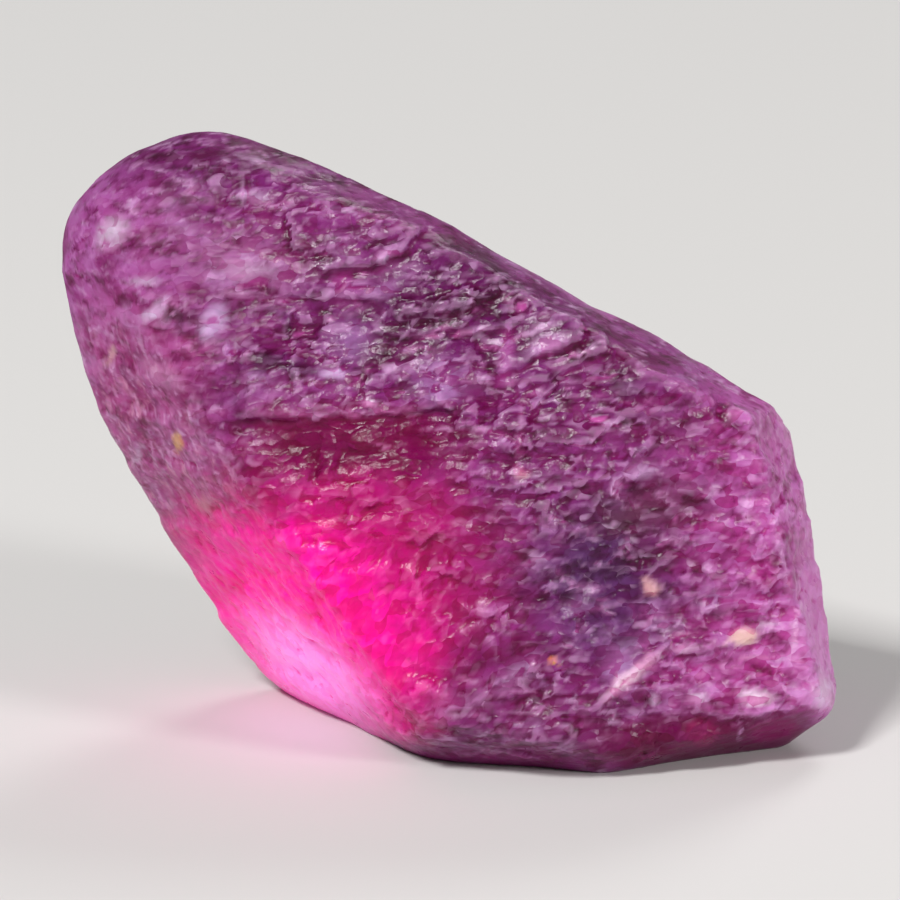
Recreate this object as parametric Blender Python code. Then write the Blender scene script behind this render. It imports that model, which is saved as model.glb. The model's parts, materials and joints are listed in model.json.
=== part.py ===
"""A raw sapphire crystal: one worn and etched stone that stands on its broken foot.

The stone is set out upright in a frame of its own, as one sees it when looking at its broad face:
+X to the right, +Z up and -Y towards the viewer. All distances there are in millimetres from its
heart, a point inside it. It then leans back, is cut off level at the foot, and is scaled to metres.
"""

import math
from typing import NamedTuple

import bmesh
import bpy
import numpy as np
from mathutils import Matrix, Vector, noise

NODE_NAME = "sapphire_crystal"
MM = 0.001

# Stance of the stone
LEAN = math.radians(16.0)  # how far the broad face leans back from upright
HEART_HEIGHT = 6.36  # from the level foot up to the heart
FOOT_ROUNDING = 0.25  # the worn rim of the foot starts to turn this far below the cut

# Sharpness of the edges between faces: the higher, the crisper
WORN_SHARPNESS = 26.0  # at the worn left end
CRISP_SHARPNESS = 110.0  # at the right end, which kept its edges
WORN_UNTIL = -0.75  # share of the way to the left where the worn edges end
CRISP_FROM = 0.45  # share of the way to the right where the crisp edges begin

# Mesh
SPHERE_SUBDIVISIONS = 7
TRIANGLE_SHARE = 0.108  # of the fine mesh's triangles that the simplified one keeps

BASE_COLOUR = (0.260, 0.028, 0.165, 1.0)
ROUGHNESS = 0.35
REFRACTIVE_INDEX = 1.77  # of corundum


class Face(NamedTuple):
    """A crystal face: where its normal points, and how far from the heart it lies."""

    bearing: float  # degrees around the broad face, 0 at +X and 90 at +Z
    tilt: float  # degrees from edge-on towards the viewer, negative on the far side
    reach: float  # mm

    def normal(self):
        """The face's outward direction."""
        bearing = math.radians(self.bearing)
        tilt = math.radians(self.tilt)
        return np.array(
            (
                math.cos(bearing) * math.cos(tilt),
                -math.sin(tilt),
                math.sin(bearing) * math.cos(tilt),
            )
        )


class Ledge(NamedTuple):
    """A growth step along a line on the front: proud above the line and sunk below it."""

    height: float  # mm from its foot to its lip
    run: float  # mm over which it fades away from the line
    points: tuple  # (x, z) corners of the line, left to right


class Ridge(NamedTuple):
    """A low rounded ridge along a line on the front."""

    height: float
    width: float
    points: tuple


class Hollow(NamedTuple):
    """A shallow round hollow, on the front where side is -1 and on the back where it is 1."""

    depth: float
    radius: float
    x: float
    z: float
    side: int = -1


FRONT_FACES = (
    Face(122, 78, 4.44),  # broad face, upper part
    Face(-128, 79, 4.58),  # broad face, lower part
    Face(-29, 74, 5.53),  # broad face, right part
    Face(61.2, 14, 5.50),  # smooth strip along the long upper edge
    Face(71.8, 25, 6.00),  # the same strip where it turns to the worn end
    Face(10.9, 17, 8.58),  # frosted strip along the right end
    Face(-38, 25, 10.90),  # lower right corner
    Face(-72, 20, 8.75),  # smooth band above the foot, right
    Face(-99, 25, 7.12),  # middle of the band
    Face(-120, 16, 6.27),  # left of the band
    Face(-133, 13, 5.42),  # lower left facet, nearest the foot
    Face(-142, 21, 4.86),  # left flank, low
    Face(-157, 30, 5.65),  # left flank, high
)
BACK_FACES = (
    Face(97, -66, 4.81),  # back, upper part
    Face(-111, -81, 4.99),  # back, lower part
    Face(-11, -57, 6.52),  # back, right part
    Face(61.2, -24, 4.12),  # behind the long upper edge
    Face(71.8, -30, 5.28),  # the same face where it turns to the worn end
    Face(10.9, -20, 7.86),  # behind the right end
    Face(-38, -25, 9.70),  # behind the lower right corner
    Face(-174, -46, 6.05),  # back, left part
)

# The worn left end is part of an egg shape, and faces tangent to it stand for its surface
WORN_CENTRE = (-6.10, 0.4, 5.15)
WORN_RADII = (3.25, 3.60, 2.90)
WORN_BEARINGS = range(98, 190, 15)
WORN_TILTS = range(-60, 61, 30)

LEDGES = (
    Ledge(0.34, 1.3, ((-4.07, 1.03), (-2.76, 1.07), (0.35, 1.22))),
    Ledge(0.18, 0.8, ((-4.74, 3.94), (-1.25, 3.89))),
    Ledge(0.26, 0.8, ((-2.06, 4.54), (-1.09, 4.70), (-0.35, 5.13), (-0.16, 5.37))),
    Ledge(0.22, 0.7, ((-0.49, 3.44), (1.04, 3.65), (1.54, 4.01))),
    Ledge(0.18, 0.6, ((-0.49, 2.94), (1.78, 3.13))),
    Ledge(0.16, 0.6, ((0.58, 2.39), (1.83, 2.39))),
    Ledge(0.18, 0.8, ((0.58, 0.29), (3.21, 0.29))),
    Ledge(0.22, 0.6, ((1.99, 2.17), (3.59, 2.82), (3.74, 3.44))),
    Ledge(0.22, 0.6, ((2.42, 1.79), (4.28, 2.60), (4.31, 3.15))),
    Ledge(0.16, 0.5, ((-1.66, 0.33), (-0.85, 0.33))),
    Ledge(0.20, 0.8, ((-3.52, -3.44), (-3.12, -3.82), (-2.18, -4.44))),
)
RIDGES = (
    Ridge(0.14, 0.28, ((4.07, -5.78), (5.57, -4.37), (6.58, -4.42))),
    Ridge(0.12, 0.25, ((6.82, -4.46), (7.91, -3.82))),
)
HOLLOWS = (
    Hollow(0.18, 0.6, -2.9, 3.1),
    Hollow(0.15, 0.5, -3.9, 4.1),
    Hollow(0.20, 0.8, 5.1, -1.1),
    Hollow(0.25, 1.0, 4.1, -3.1),
    Hollow(0.15, 0.8, 0.6, -3.1),
    Hollow(0.18, 0.5, 7.0, 1.4),
    Hollow(0.30, 1.1, 2.5, 0.5, side=1),
    Hollow(0.25, 0.9, -3.0, 2.5, side=1),
    Hollow(0.25, 0.8, 5.0, -2.6, side=1),
)
LEDGE_LIP = 0.13  # mm over which a ledge drops from its lip to its foot
LEDGE_END_FADE = 0.45  # mm over which a ledge dies out at its ends

LUMP_SIZE = 2.2  # mm across one low lump
LUMP_HEIGHT = 0.13
STEP_SPACING = 1.25  # mm from one growth step to the next, all round the stone
STEP_HEIGHT = 0.10
STEP_DROP = 0.22  # mm over which a step drops
STEP_WANDER = 0.55  # mm that a step strays from its level
STEP_PATCH_SIZE = 2.8  # mm across a patch where the steps are strong
STEP_STRENGTH = 0.6  # of the steps where the patches are neutral
STEP_CONTRAST = 2.0  # between weak and strong patches
WANDER_PATTERN = Vector((7, 0, 0))  # each of these shifts the noise to a pattern of its own
PATCH_PATTERN = Vector((0, 9, 0))

SIDE_FADE = (0.15, 0.6)  # how squarely a side faces front or back as its relief fades in
CUT_TOLERANCE = 1e-4
LEVEL_TOLERANCE = 1e-3


def worn_end_faces():
    """Faces tangent to the egg shape of the worn end, on the sides that it shows."""
    centre = np.array(WORN_CENTRE)
    radii = np.array(WORN_RADII)
    faces = []
    for bearing in WORN_BEARINGS:
        for tilt in WORN_TILTS:
            normal = Face(bearing, tilt, 0).normal()
            reach = centre @ normal + np.linalg.norm(radii * normal)
            faces.append(Face(bearing, tilt, reach))
    return faces


def foot_face():
    """The broken foot: level once the stone leans, and a little below the final cut."""
    return Face(-90, -math.degrees(LEAN), HEART_HEIGHT + FOOT_ROUNDING)


def smooth_step(low, high, value):
    """0 below low, 1 above high, and an even ramp between them."""
    share = np.clip((value - low) / (high - low), 0, 1)
    return share * share * (3 - 2 * share)


def radius_along(directions):
    """How far the surface lies from the heart along each direction, with rounded edges.

    A high power mean of the faces' closeness rounds the edge where two faces meet: the higher the
    power, the crisper the edge.
    """
    closeness = np.zeros(len(directions))
    crispness = smooth_step(WORN_UNTIL, CRISP_FROM, directions[:, 0])
    power = WORN_SHARPNESS + (CRISP_SHARPNESS - WORN_SHARPNESS) * crispness
    for face in (*FRONT_FACES, *BACK_FACES, *worn_end_faces(), foot_face()):
        facing = np.maximum(directions @ face.normal() / face.reach, 0)
        closeness += facing**power
    return closeness ** (-1 / power)


def along_line(points, x, z):
    """Distance above a line of straight stretches, and distance past its nearer end."""
    above = np.full(len(x), np.inf)
    past_end = np.zeros(len(x))
    last = len(points) - 2
    for i, ((x0, z0), (x1, z1)) in enumerate(zip(points, points[1:])):
        length = math.hypot(x1 - x0, z1 - z0)
        along = ((x - x0) * (x1 - x0) + (z - z0) * (z1 - z0)) / length
        across = ((z - z0) * (x1 - x0) - (x - x0) * (z1 - z0)) / length
        before = np.maximum(-along, 0)
        after = np.maximum(along - length, 0)
        distance = np.hypot(across, before + after)
        nearer = distance < np.abs(above)
        above = np.where(nearer, np.where(across < 0, -distance, distance), above)
        end = np.where(i == 0, before, 0) + np.where(i == last, after, 0)
        past_end = np.where(nearer, end, past_end)
    return above, past_end


def ledge_relief(ledge, x, z):
    """A step that is proud above its line, drops at the line, and fades out both ways."""
    above, past_end = along_line(ledge.points, x, z)
    drop = np.tanh(above / LEDGE_LIP) * np.exp(-np.abs(above) / ledge.run)
    return ledge.height / 2 * drop * np.exp(-((past_end / LEDGE_END_FADE) ** 2))


def ridge_relief(ridge, x, z):
    """A rounded ridge."""
    above, _ = along_line(ridge.points, x, z)
    return ridge.height * np.exp(-((above / ridge.width) ** 2))


def hollow_relief(hollow, x, z):
    """A shallow bowl."""
    distance = np.hypot(x - hollow.x, z - hollow.z)
    return -hollow.depth * np.exp(-((distance / hollow.radius) ** 2))


def growth_relief(places):
    """Low lumps and level growth steps, all round the stone."""
    relief = np.empty(len(places))
    drop_share = STEP_DROP / STEP_SPACING
    for i, place in enumerate(places):
        lump = noise.noise(Vector(place) / LUMP_SIZE)
        wander = noise.noise(Vector(place) / STEP_PATCH_SIZE + WANDER_PATTERN)
        patch = noise.noise(Vector(place) / STEP_PATCH_SIZE + PATCH_PATTERN)
        level = (place[2] + STEP_WANDER * wander) / STEP_SPACING % 1
        slope = level / (1 - drop_share) if level < 1 - drop_share else (1 - level) / drop_share
        strength = min(1, max(0, STEP_STRENGTH + STEP_CONTRAST * patch))
        relief[i] = LUMP_HEIGHT * lump + STEP_HEIGHT * strength * (slope - 0.5)
    return relief


def relief_at(places, normals):
    """How far each place is raised along its normal, in millimetres."""
    x, z = places[:, 0], places[:, 2]
    front = smooth_step(*SIDE_FADE, -normals[:, 1])
    back = smooth_step(*SIDE_FADE, normals[:, 1])
    relief = growth_relief(places)
    for ledge in LEDGES:
        relief += front * ledge_relief(ledge, x, z)
    for ridge in RIDGES:
        relief += front * ridge_relief(ridge, x, z)
    for hollow in HOLLOWS:
        relief += (front if hollow.side < 0 else back) * hollow_relief(hollow, x, z)
    return relief


def vertex_array(mesh, attribute):
    """A vertex attribute of three numbers as an array with one row each."""
    values = np.empty(len(mesh.vertices) * 3)
    mesh.vertices.foreach_get(attribute, values)
    return values.reshape(-1, 3)


def fine_stone():
    """The whole stone in its own frame in millimetres, with all its relief."""
    ball = bmesh.new()
    bmesh.ops.create_icosphere(ball, subdivisions=SPHERE_SUBDIVISIONS, radius=1)
    mesh = bpy.data.meshes.new(NODE_NAME)
    ball.to_mesh(mesh)
    ball.free()

    directions = vertex_array(mesh, "co")
    directions /= np.linalg.norm(directions, axis=1, keepdims=True)
    places = directions * radius_along(directions)[:, None]
    mesh.vertices.foreach_set("co", places.ravel())
    mesh.update()

    normals = vertex_array(mesh, "normal")
    places += normals * relief_at(places, normals)[:, None]
    mesh.vertices.foreach_set("co", places.ravel())
    mesh.update()
    return mesh


def simplified(mesh):
    """The mesh with large triangles on the even parts and small ones on the ledges."""
    stone = bpy.data.objects.new(NODE_NAME + "_fine", mesh)
    bpy.context.scene.collection.objects.link(stone)
    decimate = stone.modifiers.new("Simplify", "DECIMATE")
    decimate.ratio = TRIANGLE_SHARE
    graph = bpy.context.evaluated_depsgraph_get()
    result = bpy.data.meshes.new_from_object(stone.evaluated_get(graph))
    bpy.data.objects.remove(stone)
    return result


def stand_on_foot(mesh):
    """Lean the stone back, cut its foot level, and centre it over the origin."""
    stone = bmesh.new()
    stone.from_mesh(mesh)
    stone.transform(Matrix.Translation((0, 0, HEART_HEIGHT)) @ Matrix.Rotation(-LEAN, 4, "X"))
    cut = bmesh.ops.bisect_plane(
        stone,
        geom=[*stone.verts, *stone.edges, *stone.faces],
        dist=CUT_TOLERANCE,
        plane_co=(0, 0, 0),
        plane_no=(0, 0, 1),
        clear_inner=True,
    )
    rim = [part for part in cut["geom_cut"] if isinstance(part, bmesh.types.BMEdge)]
    bmesh.ops.holes_fill(stone, edges=rim)
    for vertex in stone.verts:
        if abs(vertex.co.z) < LEVEL_TOLERANCE:
            vertex.co.z = 0
    bmesh.ops.triangulate(stone, faces=stone.faces)
    bmesh.ops.recalc_face_normals(stone, faces=stone.faces)

    xs = [vertex.co.x for vertex in stone.verts]
    ys = [vertex.co.y for vertex in stone.verts]
    centre = Vector(((min(xs) + max(xs)) / 2, (min(ys) + max(ys)) / 2, 0))
    stone.transform(Matrix.Scale(MM, 4) @ Matrix.Translation(-centre))
    stone.to_mesh(mesh)
    stone.free()


def sapphire_material():
    """Pink-purple corundum with an etched, softly glossy skin."""
    material = bpy.data.materials.new("etched_pink_sapphire")
    material.use_nodes = True
    shader = material.node_tree.nodes["Principled BSDF"]
    shader.inputs["Base Color"].default_value = BASE_COLOUR
    shader.inputs["Roughness"].default_value = ROUGHNESS
    shader.inputs["Metallic"].default_value = 0.0
    shader.inputs["IOR"].default_value = REFRACTIVE_INDEX
    return material


def main():
    for old in list(bpy.data.objects):
        bpy.data.objects.remove(old)
    mesh = simplified(fine_stone())
    stand_on_foot(mesh)
    mesh.name = NODE_NAME
    mesh.materials.append(sapphire_material())
    mesh.shade_flat()
    crystal = bpy.data.objects.new(NODE_NAME, mesh)
    bpy.context.scene.collection.objects.link(crystal)


main()
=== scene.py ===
import json
import logging
import math
from collections.abc import Callable, Mapping
from dataclasses import dataclass, field
from enum import Enum

import bpy
import numpy as np
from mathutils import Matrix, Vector, noise

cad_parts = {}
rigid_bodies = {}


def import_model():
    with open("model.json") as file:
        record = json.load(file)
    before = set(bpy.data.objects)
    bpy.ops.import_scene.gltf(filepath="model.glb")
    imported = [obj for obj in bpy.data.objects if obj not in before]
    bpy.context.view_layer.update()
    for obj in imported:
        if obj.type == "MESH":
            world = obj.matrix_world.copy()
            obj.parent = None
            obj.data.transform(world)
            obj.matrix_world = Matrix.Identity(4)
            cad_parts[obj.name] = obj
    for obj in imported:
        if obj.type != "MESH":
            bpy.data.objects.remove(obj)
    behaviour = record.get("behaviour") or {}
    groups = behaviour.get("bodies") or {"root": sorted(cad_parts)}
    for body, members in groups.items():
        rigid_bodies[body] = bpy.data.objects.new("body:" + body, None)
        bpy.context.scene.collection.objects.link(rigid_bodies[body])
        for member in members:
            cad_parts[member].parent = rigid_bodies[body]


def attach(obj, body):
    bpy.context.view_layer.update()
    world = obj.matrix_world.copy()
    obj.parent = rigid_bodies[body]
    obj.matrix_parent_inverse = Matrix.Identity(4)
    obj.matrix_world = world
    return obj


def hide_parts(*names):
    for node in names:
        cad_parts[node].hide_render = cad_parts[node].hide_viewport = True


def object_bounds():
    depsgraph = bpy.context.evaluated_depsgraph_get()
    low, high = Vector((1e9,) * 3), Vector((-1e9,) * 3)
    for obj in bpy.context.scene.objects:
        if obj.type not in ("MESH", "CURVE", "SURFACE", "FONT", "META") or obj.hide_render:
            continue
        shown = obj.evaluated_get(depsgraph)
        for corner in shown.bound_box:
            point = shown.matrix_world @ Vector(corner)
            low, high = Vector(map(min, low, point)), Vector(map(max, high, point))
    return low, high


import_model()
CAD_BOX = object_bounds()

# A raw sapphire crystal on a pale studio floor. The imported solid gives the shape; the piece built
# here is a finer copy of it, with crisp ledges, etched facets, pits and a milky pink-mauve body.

LOG = logging.getLogger("sapphire")

Triple = tuple[float, float, float]
Place = tuple[float, float]
Span = tuple[float, float]
Setting = str | bool | int | float

MM = 0.001
NOISE_MIDDLE: Triple = (0.5, 0.5, 0.5)
NODE_NAME = "sapphire_crystal"


class Layer(Enum):
    """Names of the numbers that the mesh carries for the material to read."""

    ETCH = "etch_strength"
    FLANK = "striped_flank"
    STEEP = "steep_grain"
    HOLLOW = "fine_hollow"
    BASIN = "broad_hollow"
    WAY_OUT = "way_out"
    WORN = "worn_end"
    TINT = "body_tint"
    GLOW = "inner_glow"
    GLASS = "glassy_skin"
    SATIN = "satin"
    VEIL = "silk_veil"


@dataclass(frozen=True)
class StoneFrame:
    """The crystal's own frame, in millimetres from its heart: x right, y away, z up the crystal.

    The stone leans back in the room by lean; its faces and markings are placed without that lean.
    """

    lean: float = math.radians(16.0)
    heart: Triple = (-0.548, 0.300, 6.36)

    def places(self, points: np.ndarray) -> np.ndarray:
        """Turn room points, in metres, into places on the stone.

        Args:
            points: rows of x, y and z in metres.

        Returns:
            Rows of x, y and z in millimetres from the heart.
        """
        return self.directions(points / MM - np.array(self.heart))

    def directions(self, rows: np.ndarray) -> np.ndarray:
        """Turn room directions into the stone's own.

        Args:
            rows: rows of x, y and z.

        Returns:
            The same rows, with the lean taken off.
        """
        cosine, sine = math.cos(self.lean), math.sin(self.lean)
        turned = rows.copy()
        turned[:, 1] = rows[:, 1] * cosine - rows[:, 2] * sine
        turned[:, 2] = rows[:, 1] * sine + rows[:, 2] * cosine
        return turned


STONE = StoneFrame()


def linear(hex_colour: str) -> tuple[float, float, float, float]:
    """Turn an sRGB hex value into a linear colour.

    Args:
        hex_colour: six hex digits after a hash sign.

    Returns:
        Linear red, green and blue, with an alpha of 1.
    """
    channels = (int(hex_colour[i : i + 2], 16) / 255 for i in (1, 3, 5))
    red, green, blue = (c / 12.92 if c <= 0.04045 else ((c + 0.055) / 1.055) ** 2.4 for c in channels)
    return red, green, blue, 1.0


def add_node(
    tree: bpy.types.NodeTree,
    kind: str,
    settings: Mapping[str, Setting] | None = None,
    inputs: Mapping[str | int, object] | None = None,
) -> bpy.types.Node:
    """Add one node with its settings, values and links.

    Args:
        tree: the node tree it goes into.
        kind: the node's type.
        settings: its properties by name.
        inputs: values, sockets or nodes by socket name or number; a node stands for its first output.

    Returns:
        The new node.
    """
    node = tree.nodes.new(kind)
    for name, value in (settings or {}).items():
        setattr(node, name, value)
    for key, value in (inputs or {}).items():
        if isinstance(key, int):
            socket = node.inputs[key]
        else:
            socket = next(s for s in node.inputs if s.enabled and s.name == key)
        if isinstance(value, bpy.types.Node):
            value = next(s for s in value.outputs if s.enabled)
        if isinstance(value, bpy.types.NodeSocket):
            tree.links.new(value, socket)
        else:
            socket.default_value = value
    return node


def stone_place(tree: bpy.types.NodeTree, position: object) -> bpy.types.Node:
    """Turn a room position into a place on the stone.

    Args:
        tree: a geometry or shader tree.
        position: the room position, in metres.

    Returns:
        The node that gives millimetres in the stone's own frame.
    """
    heart = tuple(c * MM for c in STONE.heart)
    moved = add_node(tree, "ShaderNodeVectorMath", {"operation": "SUBTRACT"}, {0: position, 1: heart})
    turned = add_node(
        tree, "ShaderNodeVectorRotate", {"rotation_type": "X_AXIS"}, {"Vector": moved, "Angle": STONE.lean}
    )
    return add_node(tree, "ShaderNodeVectorMath", {"operation": "SCALE"}, {0: turned, "Scale": 1 / MM})


def apply_nodes(
    piece: bpy.types.Object,
    name: str,
    wire: Callable[[bpy.types.NodeTree, bpy.types.Node, bpy.types.Node], bpy.types.Node],
) -> None:
    """Run a piece's mesh through a geometry node tree, and apply it.

    Args:
        piece: the piece, which is the active object.
        name: the name of the modifier and its tree.
        wire: adds the nodes to a tree, from the mesh's node and the node of the place on the stone,
            and returns the node that gives the new mesh.
    """
    tree = bpy.data.node_groups.new(name, "GeometryNodeTree")
    for way in ("INPUT", "OUTPUT"):
        tree.interface.new_socket("Geometry", in_out=way, socket_type="NodeSocketGeometry")
    start = add_node(tree, "NodeGroupInput")
    place = stone_place(tree, add_node(tree, "GeometryNodeInputPosition"))
    add_node(tree, "NodeGroupOutput", {}, {"Geometry": wire(tree, start, place)})
    modifier = piece.modifiers.new(name, "NODES")
    modifier.node_group = tree
    bpy.ops.object.modifier_apply(modifier=modifier.name)


@dataclass(frozen=True)
class Facets:
    """Small etched chips, each tilted its own way and dished, with a sharp rim where two meet.

    cell is a chip's width and height in mm, turn its grain's angle above level in degrees, bend how
    far noise bends the rims, in cells, dish how deep a chip is against its tilt, seed a shift that
    makes each layer its own, and waves how many waves of that noise there are to a cell.
    """

    cell: Place
    turn: float
    bend: float
    dish: float
    seed: float
    waves: float = 0.8

    def grow(
        self, tree: bpy.types.NodeTree, place: object
    ) -> tuple[bpy.types.Node, bpy.types.Node, bpy.types.Node]:
        """Add the chips' nodes.

        Args:
            tree: a geometry or shader tree.
            place: the place on the stone, in millimetres.

        Returns:
            The height, in cell units for a full tilt of one, the cell pattern's own node, and the
            noise that bends the rims.
        """
        width, height = self.cell
        turned = add_node(
            tree,
            "ShaderNodeVectorRotate",
            {"rotation_type": "Y_AXIS"},
            {"Vector": place, "Angle": math.radians(self.turn)},
        )
        cells = add_node(
            tree,
            "ShaderNodeVectorMath",
            {"operation": "MULTIPLY"},
            {0: turned, 1: (1 / width, 1 / width, 1 / height)},
        )
        wave = add_node(
            tree, "ShaderNodeTexNoise", {}, {"Vector": cells, "Scale": self.waves, "Detail": 1.0}
        )
        bent = add_node(
            tree,
            "ShaderNodeVectorMath",
            {"operation": "MULTIPLY_ADD"},
            {0: wave.outputs["Color"], 1: (self.bend,) * 3, 2: cells},
        )
        shifted = add_node(
            tree, "ShaderNodeVectorMath", {"operation": "ADD"}, {0: bent, 1: (self.seed,) * 3}
        )
        voronoi = add_node(tree, "ShaderNodeTexVoronoi", {}, {"Vector": shifted, "Scale": 1.0})
        tilt = add_node(
            tree,
            "ShaderNodeVectorMath",
            {"operation": "SUBTRACT"},
            {0: voronoi.outputs["Color"], 1: NOISE_MIDDLE},
        )
        lever = add_node(
            tree,
            "ShaderNodeVectorMath",
            {"operation": "SUBTRACT"},
            {0: shifted, 1: voronoi.outputs["Position"]},
        )
        slope = add_node(tree, "ShaderNodeVectorMath", {"operation": "DOT_PRODUCT"}, {0: tilt, 1: lever})
        rise = add_node(
            tree,
            "ShaderNodeMath",
            {"operation": "MULTIPLY_ADD"},
            {0: voronoi.outputs["Distance"], 1: self.dish, 2: slope.outputs["Value"]},
        )
        return rise, voronoi, wave


@dataclass(frozen=True)
class Terraces:
    """Growth steps: level treads with a short riser between them, along bent level lines.

    patch is the width and height of the ground swell in mm, treads how many steps its whole range
    makes, riser the share of a tread that its riser takes, and seed a shift that makes each its own.
    """

    patch: Place
    treads: float
    riser: float
    seed: float

    def grow(self, tree: bpy.types.NodeTree, place: object) -> bpy.types.Node:
        """Add the terraces' nodes.

        Args:
            tree: a geometry or shader tree.
            place: the place on the stone, in millimetres.

        Returns:
            The node that gives the height in steps.
        """
        width, height = self.patch
        swell = add_node(
            tree,
            "ShaderNodeVectorMath",
            {"operation": "MULTIPLY_ADD"},
            {0: place, 1: (1 / width, 1 / width, 1 / height), 2: (self.seed,) * 3},
        )
        swells = add_node(tree, "ShaderNodeTexNoise", {}, {"Vector": swell, "Scale": 1.0, "Detail": 3.0})
        climb = add_node(
            tree, "ShaderNodeMath", {"operation": "MULTIPLY"}, {0: swells.outputs[0], 1: self.treads}
        )
        share = add_node(tree, "ShaderNodeMath", {"operation": "FRACT"}, {0: climb})
        tread = add_node(tree, "ShaderNodeMath", {"operation": "FLOOR"}, {0: climb})
        riser = add_node(
            tree,
            "ShaderNodeMapRange",
            {"interpolation_type": "SMOOTHSTEP"},
            {"Value": share, "From Max": self.riser},
        )
        return add_node(tree, "ShaderNodeMath", {"operation": "ADD"}, {0: tread, 1: riser})


@dataclass(frozen=True)
class Ledge:
    """A crisp step on the front, proud above its line; height and reach in mm, points as x and z."""

    height: float
    reach: float
    points: tuple[Place, ...]


@dataclass(frozen=True)
class Pit:
    """A flat-bottomed etch pit on the front; middle as x and z, half its size, and depth, in mm."""

    middle: Place
    half: Place
    depth: float


LEDGES = (
    Ledge(0.10, 0.35, ((-4.07, 1.03), (-2.76, 1.07), (0.35, 1.22))),
    Ledge(0.08, 0.25, ((-4.74, 3.94), (-1.25, 3.89))),
    Ledge(0.10, 0.30, ((-2.06, 4.54), (-1.09, 4.70), (-0.35, 5.13), (-0.16, 5.37))),
    Ledge(0.08, 0.25, ((-0.49, 3.44), (1.04, 3.65), (1.54, 4.01))),
    Ledge(0.08, 0.20, ((-0.49, 2.94), (1.78, 3.13))),
    Ledge(0.07, 0.20, ((0.58, 2.39), (1.83, 2.39))),
    Ledge(0.07, 0.20, ((0.58, 0.29), (3.21, 0.29))),
    Ledge(0.10, 0.25, ((1.99, 2.17), (3.59, 2.82), (3.74, 3.44))),
    Ledge(0.10, 0.25, ((2.42, 1.79), (4.28, 2.60), (4.31, 3.15))),
    Ledge(0.07, 0.20, ((-1.66, 0.33), (-0.85, 0.33))),
    Ledge(0.12, 0.25, ((-3.52, -3.44), (-3.12, -3.82), (-2.18, -4.44))),
    Ledge(0.12, 0.20, ((4.05, -5.75), (4.90, -5.05), (5.75, -4.35))),
    Ledge(0.09, 0.25, ((6.10, -4.45), (7.20, -4.40), (8.30, -4.05))),
    Ledge(0.09, 0.25, ((4.40, -5.95), (7.20, -6.05), (8.60, -5.90))),
    Ledge(0.10, 0.30, ((-2.90, 5.05), (-1.60, 5.00), (-0.75, 5.35))),
    Ledge(0.07, 0.18, ((0.80, 1.79), (2.00, 1.82))),
    Ledge(0.07, 0.18, ((-0.50, 0.76), (2.20, 0.74))),
    Ledge(0.08, 0.20, ((1.40, -0.36), (2.90, -0.34))),
)

PITS = (
    Pit((2.24, 3.56), (0.20, 0.18), 0.09),
    Pit((4.07, 1.03), (0.30, 0.10), 0.08),
    Pit((6.97, 1.25), (0.10, 0.22), 0.12),
    Pit((-4.10, 4.20), (0.42, 0.12), 0.09),
    Pit((-2.90, 3.10), (0.36, 0.22), 0.10),
    Pit((-5.20, 3.30), (0.24, 0.10), 0.07),
    Pit((-5.55, 2.95), (0.20, 0.16), 0.08),
    Pit((1.50, 1.30), (0.22, 0.28), 0.08),
    Pit((5.20, -2.30), (0.20, 0.14), 0.08),
    Pit((-4.95, -1.10), (0.16, 0.12), 0.08),
)


def smooth_step(span: Span, value: np.ndarray) -> np.ndarray:
    """Give a share that begins at the span's first value and is full at its second, on either side.

    Args:
        span: where the share begins and where it is full.
        value: the values to measure.

    Returns:
        The share of each value, from 0 to 1.
    """
    begin, full = span
    share = np.clip((value - begin) / (full - begin), 0, 1)
    return share * share * (3 - 2 * share)


def above_line(points: tuple[Place, ...], x: np.ndarray, z: np.ndarray) -> tuple[np.ndarray, np.ndarray]:
    """Measure places against a line of straight stretches.

    Args:
        points: the line's corners, as x and z.
        x: the places' x.
        z: the places' z.

    Returns:
        The distance above the line, and the distance past its nearer end.
    """
    above = np.full(len(x), np.inf)
    past_end = np.zeros(len(x))
    last = len(points) - 2
    for i, ((x0, z0), (x1, z1)) in enumerate(zip(points, points[1:])):
        length = math.hypot(x1 - x0, z1 - z0)
        along = ((x - x0) * (x1 - x0) + (z - z0) * (z1 - z0)) / length
        across = ((z - z0) * (x1 - x0) - (x - x0) * (z1 - z0)) / length
        before = np.maximum(-along, 0)
        after = np.maximum(along - length, 0)
        distance = np.hypot(across, before + after)
        nearer = distance < np.abs(above)
        above = np.where(nearer, np.where(across < 0, -distance, distance), above)
        end = np.where(i == 0, before, 0) + np.where(i == last, after, 0)
        past_end = np.where(nearer, end, past_end)
    return above, past_end


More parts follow.
